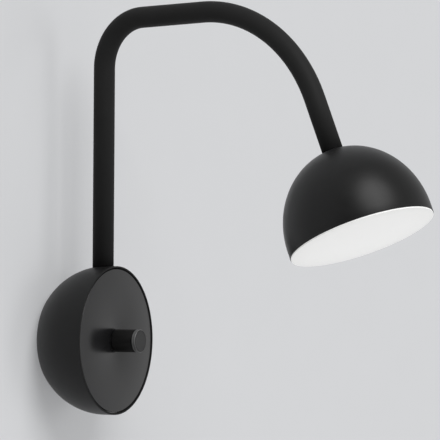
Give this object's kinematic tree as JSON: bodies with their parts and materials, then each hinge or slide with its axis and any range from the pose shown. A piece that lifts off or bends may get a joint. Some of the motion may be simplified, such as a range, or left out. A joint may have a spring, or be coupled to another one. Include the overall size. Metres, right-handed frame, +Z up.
{
  "type": "wall light",
  "caption": "Wall light with a half-round base and turn knob, a bent swivelling tube arm and a half-round shade with a flat opal diffuser.",
  "frame": {"origin": "centre of the wall plate's back face, on the wall and on the base's axis", "axes": "+Z up along the wall, -Y out of the wall towards the room, +X to the right as seen from the room"},
  "size_m": [0.1315, 0.2895, 0.2726],
  "materials": {
    "base_paint": "matt black powder coat",
    "face_paint": "matt dark grey-black powder coat",
    "arm_paint": "matt black powder coat",
    "shade_paint": "matt black powder coat",
    "knob_black": "black anodised, knurled",
    "zinc_steel": "zinc plated",
    "screw_steel": "zinc plated",
    "black_steel": "black oxide",
    "brass": "turned",
    "cast_aluminium": "cast, plain",
    "nylon": "natural nylon",
    "terminal_plastic": "moulded",
    "driver_plastic": "moulded, fine grain",
    "dimmer_plastic": "moulded",
    "board_white": "white solder mask",
    "led_yellow": "phosphor",
    "reflector_white": "white",
    "opal": "satin opal",
    "holder_white": "moulded",
    "grommet_rubber": "soft",
    "lead_white": "insulated lead",
    "lead_grey": "insulated lead"
  },
  "bodies": {
    "wall_base": {"wall_plate": "zinc_steel", "cable_grommet": "grommet_rubber", "terminal_block": "terminal_plastic", "terminal_screws": "screw_steel", "earth_washer": "screw_steel", "earth_screw": "screw_steel", "driver_case": "driver_plastic", "driver_screws": "screw_steel", "base_shell": "base_paint", "hook_clip": "zinc_steel", "weld_nut": "zinc_steel", "set_screw": "black_steel", "mounting_ring": "cast_aluminium", "face_plate": "face_paint", "plate_nuts": "screw_steel", "dimmer_body": "dimmer_plastic", "dimmer_nut": "screw_steel", "swivel_block": "cast_aluminium", "block_screws": "screw_steel", "upper_friction_washer": "nylon", "lower_friction_washer": "nylon", "lamp_lead": "lead_white", "dimmer_lead": "lead_grey", "mains_leads": "lead_grey"},
    "arm": {"arm_tube": "arm_paint", "arm_stem": "brass", "stop_washer": "zinc_steel", "wave_washer": "screw_steel", "stem_nut": "brass", "shade_nipple": "brass", "shade_shell": "shade_paint", "shade_washer": "screw_steel", "shade_nut": "brass", "heat_sink": "cast_aluminium", "led_board": "board_white", "board_screws": "screw_steel", "led_chips": "led_yellow", "led_connector": "terminal_plastic", "reflector": "reflector_white", "diffuser_holder": "holder_white", "diffuser": "opal", "arm_lead": "lead_white"},
    "knob": {"dimmer_knob": "knob_black", "knob_insert": "brass", "dimmer_shaft": "brass"}
  },
  "joints": [
    {"name": "arm_swivel", "type": "hinge", "parent": "wall_base", "child": "arm", "pos_m": [0, -0.0327, 0.0451], "axis": [0, 0, 1], "range_deg": [-71, 89]},
    {"name": "knob_turn", "type": "hinge", "parent": "wall_base", "child": "knob", "pos_m": [0, -0.0415, 0], "axis": [0, -1, 0], "range_deg": [0, 280]}
  ]
}
